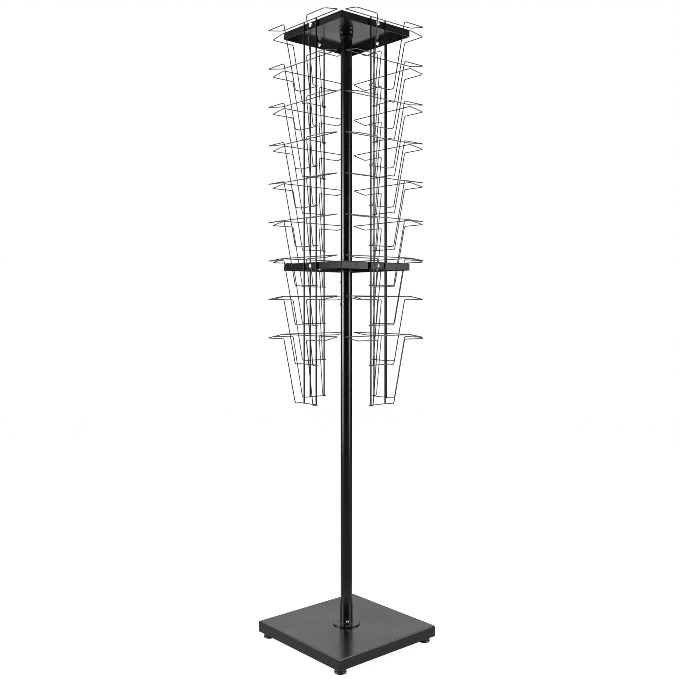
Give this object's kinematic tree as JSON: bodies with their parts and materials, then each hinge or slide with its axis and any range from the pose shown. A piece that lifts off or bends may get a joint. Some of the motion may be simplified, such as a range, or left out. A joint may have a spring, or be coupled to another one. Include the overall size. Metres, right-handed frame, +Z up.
{
  "type": "magazine display rack",
  "caption": "Floor standing wire magazine rack: a square base tray and a round pole carry a turning head with bent wire pockets on every side.",
  "frame": {"origin": "on the floor, on the pole's axis, at the middle of the square base", "axes": "+Z up along the pole; -Y is the front panel's outward direction and +X the right panel's, with the head at rest square to the base"},
  "size_m": [0.3644, 0.3644, 1.703],
  "materials": {
    "black_coat": "semi-gloss black powder coat",
    "zinc": "bright zinc plating",
    "nylon": "black nylon",
    "foot_plastic": "black moulded plastic"
  },
  "bodies": {
    "stand": {"base_tray": "black_coat", "foot_nuts": "zinc", "pole_socket": "black_coat", "socket_screw": "zinc", "lower_pole": "black_coat", "upper_pole": "black_coat", "joint_sleeve": "zinc", "joint_screws": "zinc", "pivot_plug": "zinc"},
    "head": {"bearing_cup": "nylon", "top_tray": "black_coat", "hub_screws": "zinc", "middle_tray": "black_coat", "middle_bush": "nylon", "front_uprights": "black_coat", "right_uprights": "black_coat", "back_uprights": "black_coat", "left_uprights": "black_coat", "panel_bolts": "zinc", "panel_nuts": "zinc", "front_pocket_1": "black_coat", "front_pocket_2": "black_coat", "front_pocket_3": "black_coat", "front_pocket_4": "black_coat", "front_pocket_5": "black_coat", "front_pocket_6": "black_coat", "front_pocket_7": "black_coat", "front_pocket_8": "black_coat", "front_pocket_9": "black_coat", "right_pocket_1": "black_coat", "right_pocket_2": "black_coat", "right_pocket_3": "black_coat", "right_pocket_4": "black_coat", "right_pocket_5": "black_coat", "right_pocket_6": "black_coat", "right_pocket_7": "black_coat", "right_pocket_8": "black_coat", "right_pocket_9": "black_coat", "back_pocket_1": "black_coat", "back_pocket_2": "black_coat", "back_pocket_3": "black_coat", "back_pocket_4": "black_coat", "back_pocket_5": "black_coat", "back_pocket_6": "black_coat", "back_pocket_7": "black_coat", "back_pocket_8": "black_coat", "back_pocket_9": "black_coat", "left_pocket_1": "black_coat", "left_pocket_2": "black_coat", "left_pocket_3": "black_coat", "left_pocket_4": "black_coat", "left_pocket_5": "black_coat", "left_pocket_6": "black_coat", "left_pocket_7": "black_coat", "left_pocket_8": "black_coat", "left_pocket_9": "black_coat"},
    "front_left_foot": {"front_left_foot": "foot_plastic"},
    "front_right_foot": {"front_right_foot": "foot_plastic"},
    "back_right_foot": {"back_right_foot": "foot_plastic"},
    "back_left_foot": {"back_left_foot": "foot_plastic"}
  },
  "joints": [
    {"name": "head_spin", "type": "hinge", "parent": "stand", "child": "head", "pos_m": [0, 0, 1.7], "axis": [0, 0, 1], "continuous": true},
    {"name": "front_left_levelling", "type": "hinge", "parent": "stand", "child": "front_left_foot", "pos_m": [-0.153, -0.153, 0.015], "axis": [0, 0, 1], "continuous": true},
    {"name": "front_right_levelling", "type": "hinge", "parent": "stand", "child": "front_right_foot", "pos_m": [0.153, -0.153, 0.015], "axis": [0, 0, 1], "continuous": true},
    {"name": "back_right_levelling", "type": "hinge", "parent": "stand", "child": "back_right_foot", "pos_m": [0.153, 0.153, 0.015], "axis": [0, 0, 1], "continuous": true},
    {"name": "back_left_levelling", "type": "hinge", "parent": "stand", "child": "back_left_foot", "pos_m": [-0.153, 0.153, 0.015], "axis": [0, 0, 1], "continuous": true}
  ]
}
